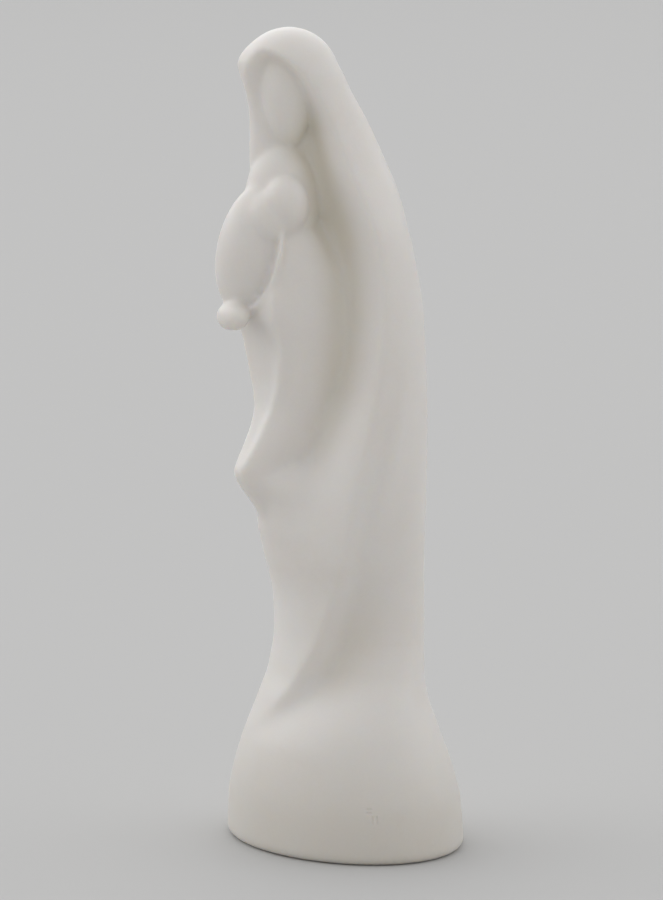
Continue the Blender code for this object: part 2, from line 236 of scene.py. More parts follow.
# Level, axis x, ridge y, half width at the ridges, extra on her right, dent of the front,
# half width of the flanks, half width and y of the root.
ARMS = (
    (384, -12, -96, 8, 0, 0, 48, 44, -32),
    (404, -12, -111, 8, 0, 0, 43, 44, -32),
    (424, -12, -123, 8, 0, 0, 37, 44, -32),
    (444, -12, -138, 9, 1, 0, 32, 44, -32),
    (464, -12, -147, 9, 2, 0, 29, 46, -32),
    (476, -12, -141, 12, 1.6, 0.4, 31, 48, -32),
    (498, -12, -129, 15, 1, 2.4, 38, 48, -32),
    (524, -12, -117, 18, 1, 3.6, 44, 48, -32),
    (548, -12, -110, 24, 2, 5, 50, 46, -32),
    (572, -12, -109, 34, 4, 7, 55, 50, -30),
    (596, -12, -110, 40, 5, 7, 58, 55, -28),
    (620, -12, -113, 45, 5, 5, 60, 58, -26),
    (640, -12, -120, 47, 5, 2, 61, 59, -26),
    (656, -12, -126, 48, 3, 0, 61, 59, -26),
    (672, -12, -126, 48, 3, 0, 61, 58, -26),
    (690, -12, -121, 48, 6, 0, 60, 56, -27),
    (708, -12, -118, 48, 7, 0, 58, 53, -30),
    (728, -12, -115, 48, 5, 0, 54, 45, -38),
    (748, -12, -113, 46, 3, 0, 48, 36, -48),
    (764, -12, -109, 38, 0, 0, 38, 24, -60),
    (775, -12, -100, 24, 0, 0, 24, 14, -68),
)
# Level, x, y of the sleeve's rolled lip, from the hand up the near side of the child.
LIP = (
    (651, -34, -131),
    (656, -18, -132),
    (664, -2, -130.5),
    (676, 14, -127),
    (691, 27, -122),
    (708, 34.5, -119),
    (726, 39, -116.5),
    (745, 41, -114),
    (764, 40, -111),
    (774, 37, -106),
)
# Level, share to which the crease behind the sleeves is rubbed out.
WEAR = (
    (0, 0),
    (450, 0),
    (540, 1),
    (790, 1),
    (850, 0),
    (1000, 0),
)

# Widths and places of the soft edges, in degrees
HOLLOW_START = 32.0
HOLLOW_HOLD = 34.0
FOLD_VALLEY = 12.0
FOLD_RISE = 23.0
FOLD_WIDTH = 6.5
APRON_TURN = -7.0

# Rubbed crease: its place as a share of the near wall, its reach in thousandths of the height,
# how often it is rubbed at the solid's grain, least share that is rubbed
WEAR_AT = 0.8
WEAR_REACH = 24.0
WEAR_PASSES = 40
WEAR_LEAST = 0.01

# Rubbed side of the face, toward her right: place and reaches, in thousandths of the height
CHEEK_AT = (-33.0, -98.0, 905.0)
CHEEK_REACH = (15.0, 18.0, 34.0)

# Least reach and least closing of a ring, so that nothing is divided by zero
LEAST = 1e-6

# Shares: roundness of the cloak edge, rise behind the narrow fold, thickness of the lip at its ends
WALL_SOFT = 0.3
FOLD_LIFT = 0.6
LIP_END = 0.5

# Corners of the arms' section, as shares of its half widths and of its depth
DENT_SIDE = 0.55
RIDGE_SIDE = 0.95
RIDGE_FLARE = 0.2
FLANK_FLARE = 0.75
ROOT_FLARE = 0.25
ROOT_BACK = 0.6
ROOT_INNER = 0.9
EXTRA_FLANK = 0.5

# Rounding of the ridges and how far the root runs into the body, in thousandths of the height
RIDGE_DROP = 0.4
RIDGE_ROUND = 6.4
ROOT_CORNER = 20.0
ROOT_END = 32.0

# Pinched corner of the hood on her right: swelling, turn, widths and level
PINCH = 6.0
PINCH_TURN = -31.0
PINCH_WIDTH = 12.0
PINCH_LEVEL = 960.0
PINCH_HEIGHT = 20.0

# Level at which the crown of the hood starts to close and level of its tiny flat tip
CROWN = 940.0
CROWN_TIP = 999.98

# Axis points of the forms in the arms and in the hood, in thousandths of the height
FACE_AT = (-4.0, -82.6, 919.0)
FACE_LEAN = (-0.06, -0.06, 1.0)
CHEST_AT = (-12.0, -85.0, 784.0)
CHEST_LEAN = (0.0, 0.0, 1.0)
BUNDLE_AT = (-20.0, -119.6, 735.0)
BUNDLE_LEAN = (0.26, 0.13, 1.0)
CHILD_HEAD_AT = (22.0, -98.8, 788.0)
CHILD_HEAD_LEAN = (0.1, 0.1, 1.0)
SHOULDER_AT = (8.0, -108.0, 774.0)
HAND_AT = (-20.0, -147.0, 653.0)
HAND_LEAN = (0.95, -0.1, 0.1)

# Share by which the face is fuller at its upper end
FACE_FULLER = 0.12

# How far up the base sizes reach, as a share of the height
BASE_REACH = 0.3

# Place and size of the tiny maker's strokes low on the skirt, in metres and degrees
MARK_LEVEL = 0.0150
MARK_TURN = 71.0
MARK_PATCH = 0.0055
STROKE_DEPTH = 0.00022
STROKE_WIDTH = 0.00034
# Each stroke: offset along the skirt, offset up, length, lean from upright in degrees
STROKES = (
    (-0.0013, 0.0022, 0.0011, 90.0),
    (-0.0013, 0.0010, 0.0011, 90.0),
    (-0.0002, -0.0012, 0.0018, 8.0),
    (0.0011, -0.0012, 0.0019, -6.0),
)

# The stone's colours
STONE = "#EBE7E2"
WARM = "#EAE5DF"
VEIN = "#DCD5CC"
# Painted shade, multiplied with the stone: a warmer, darker tone painted into the hollows and one painted
# low on the foot
RECESS_SHADE_TONE = "#F6F4EC"
FOOT_SHADE_TONE = "#EEEDE9"

# The stone: shares, then sizes of its features in metres
STONE_ROUGHNESS = 0.42
STONE_GLOW = 0.45
GLOW_DEPTH = 0.004
CLOUD_SIZE = 0.026
VEIN_SPACING = 0.045
VEIN_STRENGTH = 0.08
# How far up the foot the painted shade reaches
FOOT_SHADE_HEIGHT = 0.055
CRYSTAL_SIZE = 0.0006
POLISH_SIZE = 0.011
PIT_SIZE = 0.0005

# The stone's texture: range of a noise that reads as cloud, half width of a vein, darkest crystal
CLOUD_LOW = 0.35
CLOUD_HIGH = 0.68
VEIN_MIDDLE = 0.5
VEIN_HALF = 0.035
CRYSTAL_DARK = 0.985
# The polish: glossier and duller than the mean by these, then heights in metres and strengths of the bumps
GLOSSIER = 0.05
DULLER = 0.07
PIT_HEIGHT = 0.00003
PIT_STRENGTH = 0.35
WAVE_HEIGHT = 0.00012
WAVE_STRENGTH = 0.5
# Alabaster bends light by this much and carries red furthest inside
STONE_IOR = 1.52
STONE_SCATTER = (1.0, 0.78, 0.52)
# The paper: fibres to the metre, tone of the darkest fibre, dull finish
PAPER_FIBRES = 900.0
PAPER_DARK = 0.985
PAPER_ROUGHNESS = 0.9
PAPER_SPECULAR = 0.1

# Where the painted shade darkens the hollows: depth below the cloak's round, as shares of its radius
SUNK_START = 0.12
SUNK_FULL = 0.60

# The studio, seen as the photograph sees it, in metres and degrees
PHOTO_WIDTH = 663.0
PHOTO_HEIGHT = 900.0
CAMERA_AZIMUTH = 60.0
CAMERA_ELEVATION = 8.0
CAMERA_DISTANCE = 1.5
CAMERA_TARGET = 0.125
METRES_PER_PIXEL = 0.0003055
TARGET_PIXEL_X = 347.0
TARGET_PIXEL_Y = 435.5
SENSOR = 36.0
FLOOR_RADIUS = 8.0
SWEEP_RADIUS = 1.3
DIFFUSER_RISE = 20.0
DIFFUSER_EDGE = 0.2
FRONT_TURN = 60.0
BACK_TURN = 135.0
# Strengths of the room and of the glow on each side, as the photograph sees them
ROOM_LIGHT = 0.15
FRONT_LEFT = 0.55
FRONT_RIGHT = 0.64
BACK_LEFT = 1.0
BACK_RIGHT = 0.5
BEHIND_LIGHT = 0.4
ROOM_COLOUR = "#FCFDFF"
SWEEP_COLOUR = "#C5C4C2"


def linear(code, alpha=1.0):
    """Linear RGBA of an sRGB hex colour."""
    result = []
    for start in (1, 3, 5):
        value = int(code[start:start + 2], 16) / 255.0
        result.append(value / 12.92 if value <= 0.04045 else ((value + 0.055) / 1.055) ** 2.4)
    return (*result, alpha)


def add_node(tree, kind, values=(), links=(), **settings):
    """New node with its settings, its sockets' values and its incoming links."""
    node = tree.nodes.new(kind)
    for name, value in settings.items():
        setattr(node, name, value)
    for socket, value in dict(values).items():
        node.inputs[socket].default_value = value
    for socket, source in dict(links).items():
        tree.links.new(source, node.inputs[socket])
    return node


def follow(table, level):
    """Values of a table at a level, along a smooth curve that keeps its rises and falls."""
    keys = np.array(table, dtype=float)
    at = keys[:, 0]
    values = keys[:, 1:]
    step = np.diff(at)
    rise = np.diff(values, axis=0) / step[:, None]
    total = rise[:-1] + rise[1:]
    total[total == 0.0] = 1.0
    slope = np.zeros_like(values)
    slope[1:-1] = np.where(rise[:-1] * rise[1:] > 0.0, 2.0 * rise[:-1] * rise[1:] / total, 0.0)
    slope[0] = rise[0]
    slope[-1] = rise[-1]
    level = np.asarray(level, dtype=float)
    span = np.clip(np.searchsorted(at, level) - 1, 0, len(step) - 1)
    part = np.clip((level - at[span]) / step[span], 0.0, 1.0)[..., None]
    width = step[span][..., None]
    result = values[span] * (1.0 + 2.0 * part) * (1.0 - part) ** 2
    result = result + slope[span] * width * part * (1.0 - part) ** 2
    result = result + values[span + 1] * part ** 2 * (3.0 - 2.0 * part)
    result = result - slope[span + 1] * width * part ** 2 * (1.0 - part)
    return result


def follow_one(table, level):
    """The only value of a two-column table at a level."""
    return follow(table, level)[..., 0]


def column_at(level):
    """Centre and half sizes of the cloaked body at a level."""
    centre_x, centre_y, half_x = np.moveaxis(follow(COLUMN, level), -1, 0)
    return centre_x, centre_y, half_x, half_x * follow_one(DEPTH_SHARE, level)


def ease(share):
    """Soft step from 0 to 1."""
    share = np.clip(share, 0.0, 1.0)
    return share * share * (3.0 - 2.0 * share)


def wall_share(share):
    """Share of the opening's depth behind a rounded edge: steep at first, then level."""
    share = np.clip(share, 0.0, 1.0)
    share = share * share * (1.0 + WALL_SOFT) / (share + WALL_SOFT)
    return 1.0 - (1.0 - share) ** 3


def mound(offset, width):
    """Soft bump that is 1 in the middle."""
    return np.exp(-(offset / width) ** 2)


def base_scale(size, level):
    """Widening of the lower skirt that brings the foot to its named width and depth."""
    fade = 1.0 - ease(level / (1000.0 * BASE_REACH))
    half_width = COLUMN[0][3]
    half_depth = half_width * DEPTH_SHARE[0][1]
    wide = size.base_width / (2.0 * half_width * size.height / 1000.0)
    deep = size.base_depth / (2.0 * half_depth * size.height / 1000.0)
    return 1.0 + (wide - 1.0) * fade, 1.0 + (deep - 1.0) * fade


def body_points(size, levels, turns):
    """Rings of the cloaked body with the opening, the edges and the folds carved in."""
    level = levels[:, None] * np.ones(len(turns))[None, :]
    turn = turns[None, :] * np.ones(len(levels))[:, None]
    degrees = np.degrees(turn)
    centre_x, centre_y, half_x, half_y = column_at(level)
    wide, deep = base_scale(size, level)
    crown = np.clip((level - CROWN) / (1000.0 - CROWN), 0.0, 1.0)
    close = np.sqrt(1.0 - crown ** 2)
    out_x = half_x * wide * close * np.sin(turn)
    out_y = -half_y * deep * close * np.cos(turn)
    reach = np.hypot(out_x, out_y)
    way_x = out_x / np.maximum(reach, LEAST)
    way_y = out_y / np.maximum(reach, LEAST)
    near = follow_one(NEAR_RIM, level)
    far, slope = np.moveaxis(follow(FAR_RIM, level), -1, 0)
    depth, wall = np.moveaxis(follow(RECESS, level), -1, 0)
    reach = reach - depth * wall_share((near - degrees) / wall) * ease((degrees - far) / slope)
    behind = degrees - near
    hollow, span = np.moveaxis(follow(HOLLOW, level), -1, 0)
    runs_out = 1.0 - ease((behind - HOLLOW_HOLD) / span)
    reach = reach - hollow * wall_share(behind / HOLLOW_START) * runs_out
    fold = follow_one(FOLD, level)
    reach = reach - fold * mound(behind - FOLD_VALLEY, FOLD_WIDTH)
    reach = reach + FOLD_LIFT * fold * mound(behind - FOLD_RISE, FOLD_WIDTH)
    swell, spread = np.moveaxis(follow(APRON, level), -1, 0)
    reach = reach + swell * mound(degrees - APRON_TURN, spread)
    corner = mound(degrees - PINCH_TURN, PINCH_WIDTH) * mound(level - PINCH_LEVEL, PINCH_HEIGHT)
    reach = reach + PINCH * corner
    rounding = size.foot_round / size.height * 1000.0
    under = np.clip(1.0 - level / rounding, 0.0, 1.0)
    reach = np.maximum(reach - rounding * (1.0 - np.sqrt(1.0 - under ** 2)), 0.0)
    return np.stack([centre_x + reach * way_x, centre_y + reach * way_y, level], -1)


def arms_ring(level, count):
    """Section of the arms and sleeves: two front ridges, full sides and a root in the body."""
    axis, ridge, half, more, dent, side, root_half, root = follow(ARMS, level)
    middle = (ridge + root) / 2.0
    outline = []
    for sign, extra in ((1.0, 0.0), (-1.0, more)):
        front = half + extra
        flank = side + extra * EXTRA_FLANK
        run = [
            (0.0, ridge + dent),
            (front * DENT_SIDE, ridge + dent * DENT_SIDE),
            (front * RIDGE_SIDE, ridge + RIDGE_DROP),
            (front + (flank - front) * RIDGE_FLARE, ridge + RIDGE_ROUND),
            (front + (flank - front) * FLANK_FLARE, (ridge + middle) / 2.0),
            (flank, middle),
            (flank + (root_half - flank) * ROOT_FLARE, middle + (root - middle) * ROOT_BACK),
            (root_half, root),
            (root_half * ROOT_INNER, root + ROOT_CORNER),
            (0.0, root + ROOT_END),
        ]
        side_run = [(axis + sign * x, y) for x, y in run]
        outline.extend(side_run[:-1] if sign > 0.0 else side_run[:0:-1])
    corners = np.array(outline)
    place = np.arange(count) * len(corners) / count
    first = np.floor(place).astype(int)
    part = (place - first)[:, None]
    before, start, end, after = (corners[(first + k) % len(corners)] for k in (-1, 0, 1, 2))
    curve = 2.0 * start + (end - before) * part
    curve = curve + (2.0 * before - 5.0 * start + 4.0 * end - after) * part ** 2
    curve = curve + (3.0 * start - before - 3.0 * end + after) * part ** 3
    return np.column_stack([0.5 * curve, np.full(count, float(level))])


def keep(shape, name):
    """Turn a worked mesh into an object of the scene."""
    mesh = bpy.data.meshes.new(name)
    shape.to_mesh(mesh)
    shape.free()
    item = bpy.data.objects.new(name, mesh)
    bpy.context.scene.collection.objects.link(item)
    return item


def skin(size, rings, name):
    """Closed form drawn up ring by ring from its lowest outline."""
    shape = bmesh.new()
    mark = shape.verts.layers.int.new("turn")
    start = bmesh.ops.create_circle(shape, segments=len(rings[0]), radius=1.0)
    ring_verts = start["verts"]
    for index, vert in enumerate(ring_verts):
        vert[mark] = index
    ring_edges = list(shape.edges)
    scale = size.height / 1000.0
    for vert in ring_verts:
        vert.co = Vector(rings[0][vert[mark]]) * scale
    bmesh.ops.contextual_create(shape, geom=ring_edges)
    for ring in rings[1:]:
        grown = bmesh.ops.extrude_edge_only(shape, edges=ring_edges)["geom"]
        ring_verts = [item for item in grown if isinstance(item, bmesh.types.BMVert)]
        fresh = set(ring_verts)
        ring_edges = [edge for edge in grown if isinstance(edge, bmesh.types.BMEdge)]
        ring_edges = [edge for edge in ring_edges if edge.verts[0] in fresh and edge.verts[1] in fresh]
        for vert in ring_verts:
            vert.co = Vector(ring[vert[mark]]) * scale
    bmesh.ops.contextual_create(shape, geom=ring_edges)
    bmesh.ops.recalc_face_normals(shape, faces=shape.faces)
    return keep(shape, name)


def egg(size, name, at, lean, length, width, fuller=0.0, grow=0.0):
    """Egg on a leaning axis, fuller at its upper end."""
    shape = bmesh.new()
    bmesh.ops.create_uvsphere(shape, u_segments=EGG_SIDES, v_segments=EGG_RINGS, radius=1.0)
    for vert in shape.verts:
        swell = 1.0 + fuller * vert.co.z
        vert.co.x *= (width / 2.0 + grow) * swell
        vert.co.y *= (width / 2.0 + grow) * swell
        vert.co.z *= length / 2.0 + grow
    turn = Vector(lean).to_track_quat("Z", "Y").to_matrix().to_4x4()
    place = Matrix.Translation(Vector(at) * size.height / 1000.0)
    bmesh.ops.transform(shape, matrix=place @ turn, verts=shape.verts)
    return keep(shape, name)


def rolled_lip(size):
    """Thin roll of cloth along the sleeve where it cups the child, thinner at both ends."""
    rise = np.linspace(0.0, 1.0, LIP_STEPS)
    curve = bpy.data.curves.new("lip", "CURVE")
    curve.dimensions = "3D"
    curve.bevel_depth = size.lip_width / 2.0
    curve.bevel_resolution = LIP_SIDES
    curve.use_fill_caps = True
    line = curve.splines.new("POLY")
    line.points.add(LIP_STEPS - 1)
    levels = LIP[0][0] + (LIP[-1][0] - LIP[0][0]) * rise
    for point, level, (x, y), share in zip(line.points, levels, follow(LIP, levels), rise):
        point.co = (*(Vector((x, y, level)) * size.height / 1000.0), 1.0)
        point.radius = LIP_END + (1.0 - LIP_END) * math.sin(math.pi * share)
    roll = bpy.data.objects.new("lip", curve)
    bpy.context.scene.collection.objects.link(roll)
    return finished(roll, "rolled_lip")


def finished(item, name):
    """New object that holds the result of an object's modifiers, which takes the object's place."""
    bpy.context.view_layer.update()
    graph = bpy.context.evaluated_depsgraph_get()
    mesh = bpy.data.meshes.new_from_object(item.evaluated_get(graph))
    bpy.data.objects.remove(item, do_unlink=True)
    mesh.name = name
    result = bpy.data.objects.new(name, mesh)
    bpy.context.scene.collection.objects.link(result)
    return result


def joined(items, name):
    """One object from the closed forms, which it takes out of the scene."""
    shape = bmesh.new()
    for item in items:
        shape.from_mesh(item.data)
    for item in items:
        bpy.data.objects.remove(item, do_unlink=True)
    return keep(shape, name)


def carve_arms(size):
    """Arms and sleeves with the pocket that the child lies in."""
    levels = np.linspace(ARMS[0][0], ARMS[-1][0], ARMS_RINGS)
    whole = skin(size, [arms_ring(level, ARMS_TURNS) for level in levels], "arms_whole")
    length, width, gap = size.bundle_length, size.bundle_width, size.pocket_gap
    hollow = egg(size, "pocket", BUNDLE_AT, BUNDLE_LEAN, length, width, grow=gap)
    cut = whole.modifiers.new("Pocket", "BOOLEAN")
    cut.operation = "DIFFERENCE"
    cut.solver = "EXACT"
    cut.object = hollow
    arms = finished(whole, "arms")
    bpy.data.objects.remove(hollow, do_unlink=True)
    return arms


def body_levels(size):
    """Levels of the rings: close at the foot and at the crown, even between them."""
    rounding = size.foot_round / size.height * 1000.0
    foot = rounding * np.linspace(0.0, 1.0, FOOT_RINGS, endpoint=False) ** 2
    rise = np.linspace(rounding, CROWN, size.rings)
    quarter = np.linspace(0.0, math.pi / 2.0, CROWN_RINGS + 1)[1:]
    crown = np.minimum(CROWN + (1000.0 - CROWN) * np.sin(quarter), CROWN_TIP)
    return np.concatenate([foot, rise, crown])


def carve_forms(size):
    """Every closed form of the group, still overlapping one another."""
    turns = np.linspace(-math.pi, math.pi, size.turns, endpoint=False)
    child_length, child_width, shoulder = size.child_head_length, size.child_head_width, size.shoulder_width
    return [
        skin(size, body_points(size, body_levels(size), turns), "cloak"),
        carve_arms(size),
        egg(size, "chest", CHEST_AT, CHEST_LEAN, size.chest_length, size.chest_width),
        egg(size, "face", FACE_AT, FACE_LEAN, size.face_length, size.face_width, FACE_FULLER),
        egg(size, "bundle", BUNDLE_AT, BUNDLE_LEAN, size.bundle_length, size.bundle_width),
        egg(size, "child_head", CHILD_HEAD_AT, CHILD_HEAD_LEAN, child_length, child_width),
        egg(size, "shoulder", SHOULDER_AT, BUNDLE_LEAN, shoulder, shoulder),
        rolled_lip(size),
        egg(size, "hand", HAND_AT, HAND_LEAN, size.hand_length, size.hand_width),
    ]


def crease_share(places):
    """Share to which each point, in thousandths of the height, is rubbed into the long crease."""
    x, y, level = places.T
    centre_x, centre_y, half_x, half_y = column_at(level)
    depth, wall = follow(RECESS, level).T
    foot = np.radians(follow_one(NEAR_RIM, level) - WEAR_AT * wall)
    out_x = half_x * np.sin(foot)
    out_y = -half_y * np.cos(foot)
    kept = 1.0 - depth / np.hypot(out_x, out_y)
    aside = np.hypot(x - centre_x - out_x * kept, y - centre_y - out_y * kept)
    cheek = [mound(value - at, reach) for value, at, reach in zip(places.T, CHEEK_AT, CHEEK_REACH)]
    return np.maximum(follow_one(WEAR, level) * mound(aside, WEAR_REACH), np.prod(cheek, axis=0))


def rub_crease(size, item):
    """Soften the crease between the sleeves and the cloak, as a thumb and a soft stone would."""
    mesh = item.data
    places = np.empty(len(mesh.vertices) * 3)
    mesh.vertices.foreach_get("co", places)
    shares = crease_share(places.reshape(-1, 3) * 1000.0 / size.height)
    worn = item.vertex_groups.new(name="worn")
    for index in np.flatnonzero(shares > WEAR_LEAST):
        worn.add([int(index)], float(shares[index]), "REPLACE")
    rub = item.modifiers.new("Rub", "SMOOTH")
    rub.factor = SMOOTH_SHARE
    rub.iterations = round(WEAR_PASSES * (PART_GRAIN / size.grain) ** 2)
    rub.vertex_group = worn.name


def melt(size, group, name):
    """One fine skin over the forms, with every meeting of two forms worn soft."""
    one = group.modifiers.new("Melt", "REMESH")
    one.mode = "VOXEL"
    one.voxel_size = size.grain
    one.adaptivity = 0.0
    soft = group.modifiers.new("Soften", "SMOOTH")
    soft.factor = SMOOTH_SHARE
    soft.iterations = size.smooth_passes
    fine = finished(group, "fine")
    rub_crease(size, fine)
    return finished(fine, name)


def fit_to_frame(item):
    """Lay the underside on the ground plane and bring every extent to the frame's."""
    mesh = item.data
    places = np.empty(len(mesh.vertices) * 3)
    mesh.vertices.foreach_get("co", places)
    places = places.reshape(-1, 3)
    low, high = places.min(axis=0), places.max(axis=0)
    cad_low, cad_high = np.array(cad_box[0]), np.array(cad_box[1])
    places = (places - low) / (high - low) * (cad_high - cad_low) + cad_low
    mesh.vertices.foreach_set("co", places.ravel())
    mesh.update()


def sunk_share(places):
    """Share to which each point, in thousandths of the height, lies sunk below the cloak's round."""
    x, y, level = places.T
    centre_x, centre_y, half_x, half_y = column_at(level)
    crown = np.clip((level - CROWN) / (1000.0 - CROWN), 0.0, 1.0)
    close = np.sqrt(np.maximum(1.0 - crown ** 2, LEAST))
    sunk = 1.0 - np.hypot((x - centre_x) / half_x, (y - centre_y) / half_y) / close
    return ease((sunk - SUNK_START) / (SUNK_FULL - SUNK_START))


def paint_recess_shade(item):
    """Note on each point how much painted shade darkens it, by how far it lies sunk in a hollow."""
    mesh = item.data
    places = np.empty(len(mesh.vertices) * 3)
    mesh.vertices.foreach_get("co", places)
    recess_shade = mesh.attributes.new("painted_recess_shade", "FLOAT", "POINT")
    recess_shade.data.foreach_set("value", sunk_share(places.reshape(-1, 3) * 1000.0 / HEIGHT))


def surface_at(shape, level):
    """Point and outward normal where the skirt faces the mark, at a level."""
    tree = BVHTree.FromBMesh(shape)
    turn = math.radians(MARK_TURN)
    outward = Vector((math.sin(turn), -math.cos(turn), 0.0))
    point, normal, _, _ = tree.ray_cast(outward + Vector((0.0, 0.0, level)), -outward)
    return point, normal


def cut_strokes(item):
    """A few tiny shallow strokes low on the skirt, where a maker signs, that are no letters."""
    shape = bmesh.new()
    shape.from_mesh(item.data)
    middle, normal = surface_at(shape, MARK_LEVEL)
    along = Vector((0.0, 0.0, 1.0)).cross(normal).normalized()
    up = normal.cross(along)
    for _ in range(MARK_SPLITS):
        near = [face for face in shape.faces if (face.calc_center_median() - middle).length < MARK_PATCH]
        edges = list({edge for face in near for edge in face.edges})
        bmesh.ops.subdivide_edges(shape, edges=edges, cuts=1, use_grid_fill=True)
    for vert in shape.verts:
        offset = vert.co - middle
        if offset.length > MARK_PATCH:
            continue
        x, y = offset.dot(along), offset.dot(up)
        deepest = 0.0
        for stroke_x, stroke_y, length, lean in STROKES:
            lean = math.radians(lean)
            run = (x - stroke_x) * math.sin(lean) + (y - stroke_y) * math.cos(lean)
            aside = (x - stroke_x) * math.cos(lean) - (y - stroke_y) * math.sin(lean)
            beyond = max(abs(run) - length / 2.0, 0.0)
            deepest = max(deepest, math.exp(-(math.hypot(aside, beyond) / STROKE_WIDTH) ** 2))
        vert.co = vert.co - normal * STROKE_DEPTH * deepest
    shape.to_mesh(item.data)
    shape.free()


def alabaster(stone):
    """Alabaster, sawn, carved and hand polished: satin, cloudy, and lit from a little way within."""
    material = bpy.data.materials.new("alabaster_hand_polished")
    material.use_nodes = True
    tree = material.node_tree
    tree.nodes.clear()
    place = add_node(tree, "ShaderNodeTexCoord").outputs["Object"]
    # Slow clouds of warmer and cooler stone, as gypsum settles in beds
    drift = add_node(
        tree,
        "ShaderNodeTexNoise",
        {"Scale": 1.0 / stone.cloud_size, "Detail": 3.0},
        {"Vector": place},
    )
    clouds = add_node(
        tree,
        "ShaderNodeMapRange",
        {"From Min": CLOUD_LOW, "From Max": CLOUD_HIGH},
        {"Value": drift.outputs["Fac"]},
        interpolation_type="SMOOTHSTEP",
    )
    # Hair veins: the thin band where a slow noise crosses its middle value
    bend = add_node(
        tree,
        "ShaderNodeTexNoise",
        {"Scale": 1.0 / stone.vein_spacing, "Detail": 5.0, "Roughness": 0.6},
        {"Vector": place},
    )
    cross = add_node(
        tree,
        "ShaderNodeMath",
        {1: VEIN_MIDDLE},
        {0: bend.outputs["Fac"]},
        operation="SUBTRACT",
    )
    width = add_node(tree, "ShaderNodeMath", (), {0: cross.outputs[0]}, operation="ABSOLUTE")
    veins = add_node(
        tree,
        "ShaderNodeMapRange",
        {"From Min": 0.0, "From Max": VEIN_HALF, "To Min": 1.0, "To Max": 0.0},
        {"Value": width.outputs[0]},
        interpolation_type="SMOOTHSTEP",
    )
    patches = add_node(
        tree,
        "ShaderNodeMath",
        (),
        {0: veins.outputs["Result"], 1: clouds.outputs["Result"]},
        operation="MULTIPLY",
    )
    faint = add_node(
        tree,
        "ShaderNodeMath",
        {1: stone.vein_strength},
        {0: patches.outputs[0]},
        operation="MULTIPLY",
    )
    body = add_node(
        tree,
        "ShaderNodeMix",
        {6: linear(STONE), 7: linear(WARM)},
        {0: clouds.outputs["Result"]},
        data_type="RGBA",
    )
    veined = add_node(
        tree,
        "ShaderNodeMix",
        {7: linear(VEIN)},
        {0: faint.outputs[0], 6: body.outputs[2]},
        data_type="RGBA",
    )
    # Crystals of the stone, drawn about three times their size so that they show at all
    crystals = add_node(
        tree,
        "ShaderNodeTexVoronoi",
        {"Scale": 1.0 / stone.crystal_size},
        {"Vector": place},
    )
    sparkle = add_node(
        tree,
        "ShaderNodeMapRange",
        {"To Min": CRYSTAL_DARK, "To Max": 1.0},
        {"Value": crystals.outputs["Color"]},
    )
    speckled = add_node(
        tree,
        "ShaderNodeMix",
        {0: 1.0},
        {6: veined.outputs[2], 7: sparkle.outputs["Result"]},
        data_type="RGBA",
        blend_type="MULTIPLY",
    )
    # Painted shade in the hollows: places sunk below the cloak's round are painted warmer and darker than
    # the rounds
    recess_shade_share = add_node(tree, "ShaderNodeAttribute", attribute_name="painted_recess_shade")
    recess_shaded = add_node(
        tree,
        "ShaderNodeMix",
        {7: linear(RECESS_SHADE_TONE)},
        {0: recess_shade_share.outputs["Fac"], 6: speckled.outputs[2]},
        data_type="RGBA",
        blend_type="MULTIPLY",
    )
    # Painted shade at the foot: the stone is painted darker and warmer towards the bottom
    rise = add_node(tree, "ShaderNodeSeparateXYZ", (), {"Vector": place})
    low = add_node(
        tree,
        "ShaderNodeMapRange",
        {"From Min": 0.0, "From Max": stone.foot_shade_height, "To Min": 1.0, "To Max": 0.0},
        {"Value": rise.outputs["Z"]},
        interpolation_type="SMOOTHSTEP",
    )
    foot_shaded = add_node(
        tree,
        "ShaderNodeMix",
        {7: linear(FOOT_SHADE_TONE)},
        {0: low.outputs["Result"], 6: recess_shaded.outputs[2]},
        data_type="RGBA",
        blend_type="MULTIPLY",
    )
    # Hand polish: a touch glossier and duller in strokes a centimetre wide
    rub = add_node(
        tree,
        "ShaderNodeTexNoise",
        {"Scale": 1.0 / stone.polish_size, "Detail": 2.0},
        {"Vector": place},
    )
    gloss = add_node(
        tree,
        "ShaderNodeMapRange",
        {"To Min": stone.roughness - GLOSSIER, "To Max": stone.roughness + DULLER},
        {"Value": rub.outputs["Fac"]},
    )
    pits = add_node(
        tree,
        "ShaderNodeTexNoise",
        {"Scale": 1.0 / stone.pit_size, "Detail": 2.0},
        {"Vector": place},
    )
    fine = add_node(
        tree,
        "ShaderNodeBump",
        {"Strength": PIT_STRENGTH, "Distance": PIT_HEIGHT},
        {"Height": pits.outputs["Fac"]},
    )
    waves = add_node(
        tree,
        "ShaderNodeBump",
        {"Strength": WAVE_STRENGTH, "Distance": WAVE_HEIGHT},
        {"Height": rub.outputs["Fac"], "Normal": fine.outputs["Normal"]},
    )
    surface = add_node(
        tree,
        "ShaderNodeBsdfPrincipled",
        {
            "IOR": STONE_IOR,
            "Metallic": 0.0,
            "Subsurface Weight": stone.glow,
            "Subsurface Radius": STONE_SCATTER,
            "Subsurface Scale": stone.glow_depth,
        },
        {
            "Base Color": foot_shaded.outputs[2],
            "Roughness": gloss.outputs["Result"],
            "Normal": waves.outputs["Normal"],
        },
    )
    add_node(tree, "ShaderNodeOutputMaterial", (), {"Surface": surface.outputs["BSDF"]})
    return material


